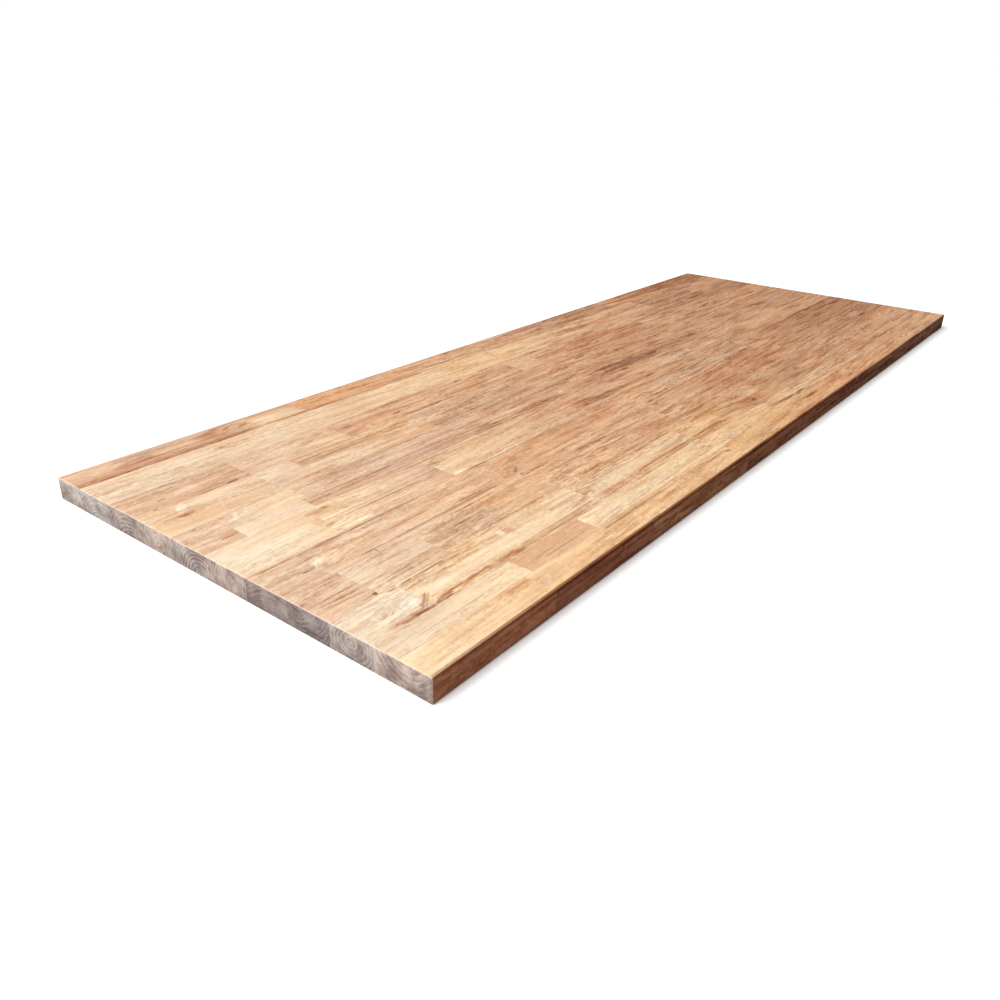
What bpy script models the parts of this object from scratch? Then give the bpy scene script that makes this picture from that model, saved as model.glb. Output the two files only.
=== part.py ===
"""Dining table top: a solid butcher block panel, glued up from staves of reclaimed teak.

The panel lies flat with its length along X, its width along Y and its underside on Z = 0. The
origin is at the middle of the underside. The staves lie in rows along X. The rows are counted
from the left long edge (+Y) to the right one (-Y), and the staves of a row from the near end (-X),
where the camera would stand, to the far end. Every stave is a solid of its own.
"""

import math
from collections import namedtuple

import bpy
from mathutils import Vector

# Driving dimensions, in metres
LENGTH = 2.400
WIDTH = 0.900
THICKNESS = 0.042
GLUE_LINE = 0.0003       # film of glue between a stave and its neighbour
ARRIS_RADIUS = 0.002     # sanded rounding of the panel's own edges
ARRIS_SEGMENTS = 3

REST = math.inf          # length of a stave that runs on to the end of its row or strip
ON_PLANE = 0.00001       # how near an edge must be to a face of the panel to lie on it

# A stave is one block of teak as wide as its row.
# Strips are a stretch of a row where two narrower runs of staves lie side by side.
Stave = namedtuple("Stave", "tone length")
Strips = namedtuple("Strips", "length left_width left right")
Row = namedtuple("Row", "width staves")

# Tones of the planed teak, from the pale young wood to the dark old heart
PALE = (0.76, 0.54, 0.32)
HONEY = (0.68, 0.43, 0.21)
TAN = (0.57, 0.35, 0.19)
ORANGE = (0.52, 0.28, 0.13)
BROWN = (0.40, 0.23, 0.13)
GREY_BROWN = (0.36, 0.24, 0.17)
DARK = (0.26, 0.14, 0.09)
TEAK_ROUGHNESS = 0.55

# The widths are those of the sawn stock. Together they are ripped to fill the panel's width.
ROWS = (
    Row(0.075, (
        Stave(BROWN, 0.395),
        Stave(PALE, 0.120),
        Stave(ORANGE, 0.615),
        Stave(TAN, 0.630),
        Stave(DARK, REST),
    )),
    Row(0.093, (
        Stave(PALE, 1.090),
        Stave(HONEY, 0.765),
        Stave(TAN, REST),
    )),
    Row(0.082, (
        Stave(BROWN, 0.232),
        Stave(PALE, 0.243),
        Stave(BROWN, 0.580),
        Stave(PALE, 0.095),
        Stave(ORANGE, 0.510),
        Stave(TAN, REST),
    )),
    Row(0.097, (
        Stave(HONEY, 0.232),
        Strips(
            length=0.398,
            left_width=0.043,
            left=(Stave(PALE, 0.083), Stave(DARK, REST)),
            right=(Stave(PALE, REST),),
        ),
        Stave(TAN, 0.525),
        Stave(ORANGE, 0.585),
        Stave(TAN, REST),
    )),
    Row(0.087, (
        Stave(BROWN, 0.082),
        Strips(
            length=0.558,
            left_width=0.050,
            left=(Stave(PALE, 0.153), Stave(TAN, REST)),
            right=(Stave(PALE, 0.140), Stave(BROWN, REST)),
        ),
        Stave(BROWN, 0.490),
        Stave(DARK, 0.575),
        Stave(TAN, REST),
    )),
    Row(0.100, (
        Stave(PALE, 0.185),
        Stave(TAN, 0.285),
        Stave(PALE, 0.445),
        Stave(TAN, 0.585),
        Stave(HONEY, REST),
    )),
    Row(0.092, (
        Stave(BROWN, 0.088),
        Stave(TAN, 0.462),
        Stave(ORANGE, 0.495),
        Stave(TAN, 0.595),
        Stave(BROWN, REST),
    )),
    Row(0.087, (
        Stave(GREY_BROWN, 0.095),
        Stave(TAN, 0.155),
        Stave(DARK, 0.310),
        Stave(ORANGE, 0.450),
        Stave(TAN, 0.690),
        Stave(ORANGE, REST),
    )),
    Row(0.084, (
        Stave(PALE, 0.125),
        Stave(PALE, 0.430),
        Stave(HONEY, 0.375),
        Stave(TAN, 0.615),
        Stave(TAN, REST),
    )),
    Row(0.046, (
        Stave(PALE, 0.285),
        Stave(TAN, 0.182),
        Stave(PALE, 0.713),
        Stave(HONEY, 0.620),
        Stave(HONEY, REST),
    )),
    Row(0.057, (
        Stave(HONEY, 0.265),
        Stave(PALE, 0.285),
        Stave(PALE, 0.375),
        Stave(HONEY, 0.635),
        Stave(ORANGE, REST),
    )),
)

# What ripping takes off or adds to each sawn width, so that the rows fill the panel
RIP_FIT = WIDTH / sum(row.width for row in ROWS)


def teak(name, tone):
    """Planed and oiled teak of one tone."""
    material = bpy.data.materials.new(name)
    material.use_nodes = True
    shader = material.node_tree.nodes["Principled BSDF"]
    shader.inputs["Base Color"].default_value = (*tone, 1.0)
    shader.inputs["Roughness"].default_value = TEAK_ROUGHNESS
    shader.inputs["Metallic"].default_value = 0.0
    return material


def half_joint(line, outer_edge):
    """The share of the glue line that a stave leaves at one of its sides."""
    return 0.0 if abs(line - outer_edge) < ON_PLANE else GLUE_LINE / 2


def outer_faces_at(point):
    """How many of the panel's faces a point lies on: one on a face, two on an edge."""
    return (
        (abs(abs(point.x) - LENGTH / 2) < ON_PLANE)
        + (abs(abs(point.y) - WIDTH / 2) < ON_PLANE)
        + (abs(point.z) < ON_PLANE or abs(point.z - THICKNESS) < ON_PLANE)
    )


def round_outer_edges(stave):
    """Eases the edges on the outline of the panel. Where staves meet they stay square."""
    mesh = stave.data
    weights = mesh.attributes.new("bevel_weight_edge", "FLOAT", "EDGE")
    for edge in mesh.edges:
        first, second = (mesh.vertices[index].co for index in edge.vertices)
        middle = stave.location + (first + second) / 2
        weights.data[edge.index].value = float(outer_faces_at(middle) >= 2)
    arris = stave.modifiers.new("arris", "BEVEL")
    arris.limit_method = "WEIGHT"
    arris.width = ARRIS_RADIUS
    arris.segments = ARRIS_SEGMENTS


def add_stave(name, tone, near, far, left, right):
    """One block of teak, between two distances from the near end and from the left edge."""
    near_face = near + half_joint(near, 0.0)
    far_face = far - half_joint(far, LENGTH)
    left_face = left + half_joint(left, 0.0)
    right_face = right - half_joint(right, WIDTH)
    bpy.ops.mesh.primitive_cube_add(size=1.0)
    stave = bpy.context.object
    stave.name = name
    stave.scale = (far_face - near_face, right_face - left_face, THICKNESS)
    bpy.ops.object.transform_apply(location=False, rotation=False, scale=True)
    stave.location = Vector((
        (near_face + far_face) / 2 - LENGTH / 2,
        WIDTH / 2 - (left_face + right_face) / 2,
        THICKNESS / 2,
    ))
    stave.data.materials.append(teak(name, tone))
    round_outer_edges(stave)
    for collection in stave.users_collection:
        collection.objects.unlink(stave)
    table_top.objects.link(stave)


def lay_run(prefix, staves, near, far, left, right):
    """Lays staves end to end. The last one is cut off where the run ends.

    An offcut shorter than the panel is thick isn't glued in: the stave before it runs on instead.
    """
    start = near
    for number, stave in enumerate(staves, 1):
        end = start + stave.length
        if far - end < THICKNESS:
            end = far
        name = f"{prefix}{number}"
        if isinstance(stave, Strips):
            split = left + stave.left_width * RIP_FIT
            lay_run(f"{name}_left", stave.left, start, end, left, split)
            lay_run(f"{name}_right", stave.right, start, end, split, right)
        else:
            add_stave(name, stave.tone, start, end, left, right)
        if end == far:
            break
        start = end


for old_object in list(bpy.data.objects):
    bpy.data.objects.remove(old_object, do_unlink=True)

table_top = bpy.data.collections.new("dining_table_top")
bpy.context.scene.collection.children.link(table_top)

row_left = 0.0
for row_number, row in enumerate(ROWS, 1):
    row_right = WIDTH if row is ROWS[-1] else row_left + row.width * RIP_FIT
    lay_run(f"row{row_number:02d}_stave", row.staves, 0.0, LENGTH, row_left, row_right)
    row_left = row_right
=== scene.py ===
import math
import random

import bmesh
import bpy
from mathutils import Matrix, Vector


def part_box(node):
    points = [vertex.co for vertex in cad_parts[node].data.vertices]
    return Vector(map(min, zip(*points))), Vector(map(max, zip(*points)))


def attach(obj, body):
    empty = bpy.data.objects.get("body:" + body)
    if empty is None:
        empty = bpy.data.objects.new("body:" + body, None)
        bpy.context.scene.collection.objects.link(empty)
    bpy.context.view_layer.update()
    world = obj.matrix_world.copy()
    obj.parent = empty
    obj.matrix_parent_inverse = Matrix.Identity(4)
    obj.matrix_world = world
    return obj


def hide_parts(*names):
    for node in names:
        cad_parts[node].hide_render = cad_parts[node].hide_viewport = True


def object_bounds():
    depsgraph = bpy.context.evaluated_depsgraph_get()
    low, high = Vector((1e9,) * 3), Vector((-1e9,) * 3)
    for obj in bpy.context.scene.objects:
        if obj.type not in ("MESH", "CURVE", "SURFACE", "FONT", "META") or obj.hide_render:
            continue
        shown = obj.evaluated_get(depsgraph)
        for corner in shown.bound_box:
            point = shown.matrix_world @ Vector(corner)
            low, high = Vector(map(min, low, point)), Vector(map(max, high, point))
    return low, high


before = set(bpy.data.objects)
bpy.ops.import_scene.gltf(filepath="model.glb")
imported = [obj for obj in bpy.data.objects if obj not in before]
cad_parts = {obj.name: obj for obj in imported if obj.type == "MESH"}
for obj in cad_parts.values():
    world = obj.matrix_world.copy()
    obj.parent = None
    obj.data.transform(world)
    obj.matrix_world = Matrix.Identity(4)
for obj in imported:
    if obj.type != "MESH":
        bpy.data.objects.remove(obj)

cad_box = [list(corner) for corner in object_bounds()]
NEAR, LEFT = cad_box[0][0], cad_box[1][1]
RIGHT, TOP = cad_box[0][1], cad_box[1][2]


# Row 1, along the left long edge: five staves of old brown teak, one of them a short pale block.
# Each stave is sawn square, planed and glued to its neighbours, and then the whole panel is
# sanded flat, its outer edges are eased and its upper face is oiled.

ARRIS = 0.002            # rounding of the panel's own edges
ARRIS_STEPS = 4
CUT_ALONG = 0.0075       # spacing of the cuts in an upper face, with the grain
CUT_ACROSS = 0.0019      # and across it
SEAM_DIP = 0.0001        # how far sanding sinks an upper face along its glue lines
SANDING_WAVE = 0.00022   # height of the waves that the sander leaves
WAVE_LENGTH = 0.25       # their length, before the sander's own stretch
SANDER_STRETCH = (0.6, 0.12, 0.12)
WAVE_START = 5 * ARRIS   # from the glue lines inwards, where they have their full height
CHECK_DEPTH = 0.0006     # how deep an open check is
SQUEEZE_OUT = 0.0001     # how far glue fills the joints from either side
ON_FACE = 0.00001        # how near a point must be to a face to lie on it
SHARP_FROM = math.radians(40)

HEART_ASIDE = 0.05       # how far the heart of a log may lie beside its stave
HEART_LOW, HEART_HIGH = -0.05, 0.06
LOG_SLOPE = 0.03         # how far a log may run out of line with its stave
RING_WANDER = 0.014      # how far the growth rings stray from round
PORE_DEPTH = 0.0004
PORE_STRENGTH = 0.35
OIL_SHEEN = 0.25
# Painted shadow line along the top of the right long edge, where it turns away from the light
EDGE_SHADE_FULL, EDGE_SHADE_OUT = 0.0037, 0.0068    # width of the dark line along the right long edge
FLECK_STRENGTH = 0.4
FACE_REACH = 60.0        # keeps a mark to the face that it lies on

# Tones of the oiled face. Staves are paler at the near end and darker at the far end, partly the wood's
# own tone and partly painted light, as if more light fell on the near end.
IVORY = (0.75, 0.55, 0.36)
WHEAT = (0.74, 0.47, 0.26)
TAN = (0.65, 0.41, 0.25)
APRICOT = (0.71, 0.42, 0.23)
AMBER = (0.66, 0.37, 0.20)
BROWN = (0.60, 0.35, 0.21)
UMBER = (0.48, 0.24, 0.12)
WALNUT = (0.44, 0.205, 0.095)
GLOW = (0.86, 0.68, 0.48)
BUTTER = (0.83, 0.60, 0.36)
SIENNA = (0.66, 0.335, 0.16)

# Tones of the bare near end, and what the oil and painted shade make of a long edge
END_PALE = (0.58, 0.48, 0.43)
END_GREY = (0.51, 0.41, 0.36)
SIDE_STAIN_AND_SHADE = (0.60, 0.38, 0.29)

# Stains, which a tone is multiplied by
PEAT = (0.40, 0.235, 0.14)
BARK = (0.30, 0.15, 0.08)
RUST = (0.72, 0.42, 0.24)
DUSK = (0.66, 0.58, 0.60)
MOSS = (0.95, 1.02, 1.07)
CURL = (1.25, 1.42, 1.60)
STAINS = (PEAT, BARK, RUST, DUSK, MOSS)
PALE_WOOD, DARK_WOOD = (1.18, 1.32, 1.46), (0.56, 0.36, 0.24)
PALE_END, DARK_END = (1.33, 1.38, 1.40), (0.52, 0.49, 0.50)
# Painted highlight: the pale colour of the eased edges round the ends, where they catch the light
ARRIS_HIGHLIGHT = (0.84, 0.70, 0.56)

saw_log = random.Random(11)


def wire(tree, kind, feeds, **settings):
    """Adds a node. Feeds gives each input a value, or the output that drives it."""
    added = tree.nodes.new(kind)
    for setting, value in settings.items():
        setattr(added, setting, value)
    for socket, feed in feeds.items():
        if isinstance(feed, bpy.types.NodeSocket):
            tree.links.new(feed, added.inputs[socket])
        else:
            added.inputs[socket].default_value = feed
    return added


def join(kind, feeds, **settings):
    """Adds a node to the tree that its feeds come from."""
    tree = next(feed.id_data for feed in feeds.values() if isinstance(feed, bpy.types.NodeSocket))
    return wire(tree, kind, feeds, **settings)


def calc(operation, first, second=0.0):
    return join("ShaderNodeMath", {0: first, 1: second}, operation=operation).outputs[0]


def times(first, second):
    return calc("MULTIPLY", first, second)


def plus(first, second):
    return calc("ADD", first, second)


def minus(first, second):
    return calc("SUBTRACT", first, second)


def combine(operation, first, second=(0, 0, 0)):
    """A vector from one or two vectors."""
    feeds = {0: first, 1: second}
    return join("ShaderNodeVectorMath", feeds, operation=operation).outputs["Vector"]


def span(vector):
    """The length of a vector."""
    return join("ShaderNodeVectorMath", {0: vector}, operation="LENGTH").outputs["Value"]


def axes_of(vector):
    """The three coordinates of a vector."""
    return join("ShaderNodeSeparateXYZ", {0: vector}).outputs


def step(value, low, high):
    """Rises smoothly from 0 to 1 as a value goes from low to high."""
    feeds = {"Value": value, "From Min": low, "From Max": high}
    return join("ShaderNodeMapRange", feeds, interpolation_type="SMOOTHSTEP").outputs[0]


def clouds(place, stretch, detail=2, roughness=0.5, output="Fac"):
    """Soft noise, with so many waves to the metre along each axis."""
    feeds = {"Vector": combine("MULTIPLY", place, stretch), "Scale": 1.0, "Detail": detail}
    return join("ShaderNodeTexNoise", feeds | {"Roughness": roughness}).outputs[output]


def mix(share, first, second, blend="MIX"):
    """Two colours mixed, or blended in another way."""
    feeds = {0: share}
    for index, colour in ((6, first), (7, second)):
        feeds[index] = colour if isinstance(colour, bpy.types.NodeSocket) else (*colour, 1.0)
    return join("ShaderNodeMix", feeds, data_type="RGBA", blend_type=blend).outputs[2]


def new_group(name, inputs, outputs):
    """An empty node group. Its inputs and outputs are named for each kind of socket."""
    tree = bpy.data.node_groups.new(name, "ShaderNodeTree")
    for side, kinds in (("INPUT", inputs), ("OUTPUT", outputs)):
        for kind, labels in kinds.items():
            for label in labels:
                tree.interface.new_socket(label, in_out=side, socket_type="NodeSocket" + kind)
    return tree, tree.nodes.new("NodeGroupInput").outputs, tree.nodes.new("NodeGroupOutput").inputs


def knot_group():
    """A knot: the grain bends round it, its eye is dark and pale and dark swirls lie about it."""
    tree, given, result = new_group(
        "knot",
        {"Vector": ("Place", "Centre"), "Float": ("Radius",)},
        {"Vector": ("Bent Place",), "Float": ("Eye", "Halo", "Swirl")},
    )
    offset = combine("SUBTRACT", given["Place"], given["Centre"])
    squashed = combine("MULTIPLY", offset, (0.5, 1, 0.3))
    distance = calc("DIVIDE", span(squashed), given["Radius"])
    pull = calc("EXPONENT", times(calc("POWER", distance, 2), -0.1))
    across = axes_of(offset)[1]
    shift = times(times(across, pull), -0.8)
    bend = join("ShaderNodeCombineXYZ", {1: shift}).outputs[0]
    tree.links.new(combine("ADD", given["Place"], bend), result["Bent Place"])
    ragged = minus(clouds(offset, (130, 260, 130)), 0.5)
    edge = plus(distance, times(ragged, 1.6))
    tree.links.new(minus(1, step(edge, 0.1, 0.9)), result["Eye"])
    waves = calc("SINE", times(edge, 5))
    near = minus(1, step(edge, 1.2, 2.8))
    tree.links.new(times(step(waves, -0.4, 0.8), near), result["Swirl"])
    long_offset = combine("MULTIPLY", offset, (0.22, 1, 0.3))
    reach = calc("DIVIDE", span(long_offset), given["Radius"])
    fade = times(calc("POWER", reach, 2), -0.35)
    fade = plus(fade, times(ragged, 1.5))
    tree.links.new(calc("EXPONENT", fade), result["Halo"])
    return tree


def mark_group():
    """A ragged streak or patch that lies along the grain. Its rim is sharp where Rim nears 1."""
    tree, given, result = new_group(
        "mark",
        {"Vector": ("Place", "Centre", "Reach"), "Float": ("Turn", "Rim", "Ragged", "Broken")},
        {"Float": ("Mask",)},
    )
    offset = combine("SUBTRACT", given["Place"], given["Centre"])
    feeds = {"Vector": offset, "Angle": given["Turn"]}
    turned = join("ShaderNodeVectorRotate", feeds, rotation_type="Z_AXIS").outputs[0]
    scaled = axes_of(combine("MULTIPLY", turned, given["Reach"]))
    blunt = calc("POWER", calc("ABSOLUTE", scaled[0]), 2.5)
    scaled = join("ShaderNodeCombineXYZ", {0: blunt, 1: scaled[1], 2: scaled[2]}).outputs[0]
    torn = minus(clouds(given["Place"], (26, 130, 130)), 0.5)
    frayed = minus(clouds(given["Place"], (60, 420, 420)), 0.5)
    rough = plus(times(torn, 1.8), times(frayed, 1.2))
    distance = plus(span(scaled), times(rough, given["Ragged"]))
    mask = minus(1, step(distance, given["Rim"], 1.1))
    curls = clouds(given["Place"], (30, 60, 60), output="Color")
    curls = combine("ADD", given["Place"], combine("MULTIPLY", curls, (0.03, 0.016, 0)))
    gaps = step(clouds(curls, (45, 260, 260), 2, 0.6), 0.4, 0.58)
    gaps = times(gaps, given["Broken"])
    tree.links.new(times(mask, minus(1, gaps)), result["Mask"])
    return tree


GRAIN_LAYERS = (
    "Rings", "Early Wood", "Stripes", "Flecks", "Dashes", "Fibres", "Mottle", "Vessels")


def grain_group():
    """Growth rings about the pith, fibres along it, and the open vessels of teak."""
    tree, given, result = new_group(
        "teak grain",
        {"Vector": ("Place", "Pith", "Lean"), "Float": ("Ring Width", "Wander", "Tint", "Seed")},
        {"Float": GRAIN_LAYERS, "Color": ("Hue",)},
    )
    lean = combine("MULTIPLY", given["Lean"], axes_of(given["Place"])[0])
    heart = combine("ADD", given["Pith"], lean)
    from_heart = combine("SUBTRACT", given["Place"], heart)
    seed = join("ShaderNodeCombineXYZ", {0: given["Seed"]}).outputs[0]
    moved = combine("ADD", from_heart, seed)
    slow = minus(clouds(moved, (2.6, 14, 14)), 0.5)
    quick = minus(clouds(moved, (16, 55, 55)), 0.5)
    sway = plus(slow, times(quick, 0.5))
    sway = times(sway, given["Wander"])
    fine = minus(clouds(moved, (12, 150, 150)), 0.5)
    radius = span(combine("MULTIPLY", from_heart, (0, 1, 1)))
    radius = plus(radius, times(fine, 0.004))
    count = calc("DIVIDE", plus(radius, sway), given["Ring Width"])
    year = calc("FRACT", count)
    ended = minus(1, step(year, 0.9, 1.0))
    late = times(step(year, 0.25, 0.88), ended)
    which = plus(calc("FLOOR", count), given["Seed"])
    harvest = join("ShaderNodeTexWhiteNoise", {"W": which}, noise_dimensions="1D").outputs["Value"]
    strength = plus(times(harvest, 0.7), 0.3)
    tree.links.new(times(late, strength), result["Rings"])
    early = minus(1, step(year, 0.02, 0.22))
    tree.links.new(times(early, strength), result["Early Wood"])
    swayed = join("ShaderNodeCombineXYZ", {1: times(sway, 0.7)}).outputs[0]
    moved = combine("ADD", moved, swayed)
    stripes = step(clouds(moved, (5, 100, 100), 3), 0.53, 0.68)
    tree.links.new(stripes, result["Stripes"])
    busy = step(clouds(moved, (6, 26, 26), 1), 0.38, 0.62)
    short = step(clouds(moved, (34, 420, 420), 1), 0.56, 0.68)
    tree.links.new(times(short, busy), result["Flecks"])
    dashes = step(clouds(moved, (13, 150, 150), 3, 0.6), 0.6, 0.67)
    tree.links.new(times(dashes, busy), result["Dashes"])
    crumbs = minus(clouds(moved, (120, 170, 170), 2, 0.7), 0.5)
    both = clouds(moved, (9, 85, 85), 5, 0.68)
    both = plus(both, times(crumbs, 0.45))
    both = minus(step(both, 0.38, 0.62), 0.5)
    both = times(both, plus(times(busy, 0.7), 0.6))
    tree.links.new(plus(both, 0.5), result["Fibres"])
    blotches = clouds(moved, (5.5, 45, 45), 3)
    ripples = clouds(moved, (80, 110, 110), 3, 0.75)
    both = plus(times(blotches, 0.55), times(ripples, 0.45))
    tree.links.new(step(both, 0.36, 0.64), result["Mottle"])
    pores = clouds(moved, (55, 1500, 1500), 0)
    tree.links.new(step(pores, 0.64, 0.74), result["Vessels"])
    hue = minus(clouds(moved, (6, 40, 40), 3, 0.6), 0.5)
    hue = combine("MULTIPLY", hue, (-0.4, 0.5, 1.8))
    hue = combine("MULTIPLY", hue, given["Tint"])
    tree.links.new(combine("ADD", hue, (1, 1, 1)), result["Hue"])
    return tree


def planed_group():
    """The colour of a stave: planed and oiled on top, bare on its ends, and dark on the long edges from
    the oil and from painted shade.
    """
    tree, given, result = new_group(
        "planed teak",
        {
            "Vector": ("Place",), "Color": ("Tone", "Hue", "End Tone", "Edge Stain And Shade"),
            "Float": GRAIN_LAYERS + (
                "Figure", "Ring Strength", "Stripe Strength", "Fleck Strength", "Dash Strength",
                "End Rings"),
        },
        {"Color": ("Color",), "Float": ("Roughness", "Height", "Upper", "Sawn End")},
    )
    facing = wire(tree, "ShaderNodeTexCoord", {}).outputs["Normal"]
    facing = axes_of(combine("ABSOLUTE", facing))
    sawn_end = step(facing[0], 0.55, 0.8)
    long_edge = step(facing[1], 0.45, 0.8)
    # The oiled faces
    darkness = times(given["Mottle"], 0.36)
    darkness = plus(darkness, times(given["Fibres"], 0.42))
    darkness = plus(darkness, times(given["Vessels"], 0.1))
    darkness = minus(darkness, 0.41)
    for layer in ("Ring", "Stripe"):
        share = times(given[layer + "s"], given[layer + " Strength"])
        darkness = plus(darkness, share)
    figure = times(given["Figure"], plus(long_edge, 1.0))
    darkness = plus(times(darkness, figure), 0.34)
    tone = mix(1.0, given["Tone"], given["Hue"], "MULTIPLY")
    light = mix(1.0, tone, PALE_WOOD, "MULTIPLY")
    dark = mix(1.0, tone, DARK_WOOD, "MULTIPLY")
    face = mix(darkness, light, dark)
    for layer, strength in (("Flecks", "Fleck Strength"), ("Dashes", "Dash Strength")):
        face = mix(times(given[layer], given[strength]), face, PEAT, "MULTIPLY")
    # The long edges: darker from the oil, and from painted shade where they face away from the light
    edge = mix(1.0, face, given["Edge Stain And Shade"], "MULTIPLY")
    colour = mix(long_edge, face, edge)
    # A painted shadow line along the top of the right long edge, where the rounded edge turns away from
    # the light, from near to far
    at = axes_of(given["Place"])
    edge_shade_line = minus(1, step(at[1], RIGHT + EDGE_SHADE_FULL, RIGHT + EDGE_SHADE_OUT))
    edge_shade_line = times(edge_shade_line, step(at[2], TOP - 0.008, TOP - 0.001))
    edge_shade_line = times(edge_shade_line, step(at[0], NEAR - 0.5, NEAR + 0.45))
    fading = times(step(at[0], NEAR + 1.2, NEAR + 1.9), 0.65)
    edge_shade_line = times(edge_shade_line, minus(1, fading))
    colour = mix(edge_shade_line, colour, BARK, "MULTIPLY")
    # The bare sawn end, with its dust and its growth rings
    dust = clouds(given["Place"], (38, 38, 38), 5, 0.65)
    dust = plus(times(dust, 2), -0.45)
    worn = step(clouds(given["Place"], (50, 50, 50), 1), 0.3, 0.6)
    worn = times(worn, given["End Rings"])
    late = times(times(given["Rings"], 0.4), worn)
    early = times(times(given["Early Wood"], 0.6), worn)
    end_shade = minus(plus(dust, late), early)
    light = mix(1.0, given["End Tone"], PALE_END, "MULTIPLY")
    dark = mix(1.0, given["End Tone"], DARK_END, "MULTIPLY")
    end = mix(step(end_shade, 0.05, 1.05), light, dark)
    colour = mix(sawn_end, colour, end)
    # The eased edge between them, with a painted highlight where its rounding catches the light
    ended = minus(1, step(facing[0], 0.8, 0.95))
    eased = times(step(facing[0], 0.1, 0.35), ended)
    colour = mix(times(eased, 0.4), colour, ARRIS_HIGHLIGHT)
    tree.links.new(colour, result["Color"])
    rough = plus(times(given["Fibres"], 0.1), 0.55)
    rough = plus(rough, times(sawn_end, 0.25))
    rough = plus(rough, times(long_edge, 0.25))
    tree.links.new(rough, result["Roughness"])
    sunk = plus(given["Vessels"], times(given["Fibres"], 0.5))
    sunk = plus(sunk, times(given["Flecks"], 0.6))
    tree.links.new(minus(1, sunk), result["Height"])
    tree.links.new(step(facing[2], 0.5, 0.9), result["Upper"])
    tree.links.new(sawn_end, result["Sawn End"])
    return tree


knot_nodes = knot_group()
mark_nodes = mark_group()
grain_nodes = grain_group()
planed_nodes = planed_group()


def mark(centre, reach, colour, share, rim, turn=0.0, ragged=1.0, broken=0.0, deep=0.0, face="Upper"):
    """A mark with what it feeds to its node group, its colour and depth, and the face it lies on."""
    feeds = {"Centre": centre, "Reach": reach, "Rim": rim, "Turn": math.radians(turn),
             "Ragged": ragged, "Broken": broken}
    return {"feeds": feeds, "colour": colour, "share": share, "deep": deep, "face": face}


def spot(along, across):
    """A point of the upper face, in millimetres from the near end and from the left edge."""
    return Vector((NEAR + along / 1000, LEFT - across / 1000, TOP))


def on_top(along, across, length, width, **rest):
    """A mark on the upper face, given by its middle and its size in millimetres."""
    reach = (2 / (length / 1000), 2 / (width / 1000), FACE_REACH)
    return mark(spot(along, across), reach, **rest)


def streak(along, across, length, width, dark=0.45, colour=PEAT, turn=0.0):
    """A dark streak. Turn leads it to the right, in degrees."""
    return on_top(along, across, length, width, colour=colour, share=dark, rim=0.3, turn=turn)


def patch(along, across, length, width, colour, share=0.4, turn=0.0):
    """A patch of another tone."""
    return on_top(along, across, length, width, colour=colour, share=share, rim=0.2, turn=turn,
                  broken=0.45)


def knot(along, across, radius, dark, stain=0.3, pale=0.15):
    """A knot with its dark eye, the stain about it and its pale swirls."""
    feeds = {"Centre": spot(along, across), "Radius": radius / 1000}
    return {"feeds": feeds, "shades": ((RUST, "Halo", stain), (CURL, "Swirl", pale), (BARK, "Eye", dark)),
            "deep": 0.0}


def swirl(along, across, radius, pale):
    """Curly grain above a knot that lies deeper in the wood."""
    return knot(along, across, radius, 0.0, 0.0, pale)


def stave_material(name, ends, tones, grain, look, marks):
    """Teak of one tone or two, with this stave's own grain, look and marks."""
    material = bpy.data.materials.new(name)
    material.use_nodes = True
    tree = material.node_tree
    shader = tree.nodes["Principled BSDF"]
    shader.inputs["Specular IOR Level"].default_value = OIL_SHEEN
    place = wire(tree, "ShaderNodeTexCoord", {}).outputs["Object"]
    feeds = {"Value": axes_of(place)[0], "From Min": ends[0], "From Max": ends[1]}
    along = join("ShaderNodeMapRange", feeds).outputs[0]
    bent = place
    knots = []
    for each in marks:
        if "shades" in each:
            feeds = each["feeds"] | {"Place": bent}
            made = join("ShaderNodeGroup", feeds, node_tree=knot_nodes).outputs
            bent = made["Bent Place"]
            knots.append((made, each["shades"]))
    feeds = grain | {"Place": bent, "Seed": saw_log.uniform(1.0, 90.0)}
    made = join("ShaderNodeGroup", feeds, node_tree=grain_nodes).outputs
    feeds = look | {output.name: output for output in made}
    # The tone fades from the near end to the far end: partly the wood's own tone, partly painted light
    # that brightens the near end
    feeds |= {"Place": bent, "Tone": mix(along, *tones)}
    planed = join("ShaderNodeGroup", feeds, node_tree=planed_nodes).outputs
    colour = planed["Color"]
    for made, shades in knots:
        for stain, part, strength in shades:
            share = times(times(made[part], strength), planed["Upper"])
            colour = mix(share, colour, stain, "MULTIPLY")
    for each in marks:
        if "shades" not in each:
            feeds = each["feeds"] | {"Place": place}
            mask = join("ShaderNodeGroup", feeds, node_tree=mark_nodes).outputs["Mask"]
            share = times(times(mask, each["share"]), planed[each["face"]])
            blend = "MULTIPLY" if each["colour"] in STAINS else "MIX"
            colour = mix(share, colour, each["colour"], blend)
    tree.links.new(colour, shader.inputs["Base Color"])
    tree.links.new(planed["Roughness"], shader.inputs["Roughness"])
    feeds = {"Height": planed["Height"], "Strength": PORE_STRENGTH, "Distance": PORE_DEPTH}
    bump = join("ShaderNodeBump", feeds)
    tree.links.new(bump.outputs["Normal"], shader.inputs["Normal"])
    return material


def faces_at(point):
    """How many of the panel's faces a point lies on: one on a face, two on an edge."""
    low, high = cad_box
    return sum(
        min(abs(point[axis] - low[axis]), abs(point[axis] - high[axis])) < ON_FACE
        for axis in range(3)
    )


def cut_upper_face(block, axis, cuts):
    """Cuts the edges of the upper face that run along an axis, and the face with them."""
    mesh = bmesh.from_edit_mesh(block.data)
    bpy.ops.mesh.select_all(action="DESELECT")
    for edge in mesh.edges:
        first, second = (vertex.co for vertex in edge.verts)
        upper = abs(first.z - TOP) < ON_FACE and abs(second.z - TOP) < ON_FACE
        edge.select_set(upper and abs(first[1 - axis] - second[1 - axis]) < ON_FACE)
    bmesh.update_edit_mesh(block.data)
    bpy.ops.mesh.subdivide(number_cuts=cuts)


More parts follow.
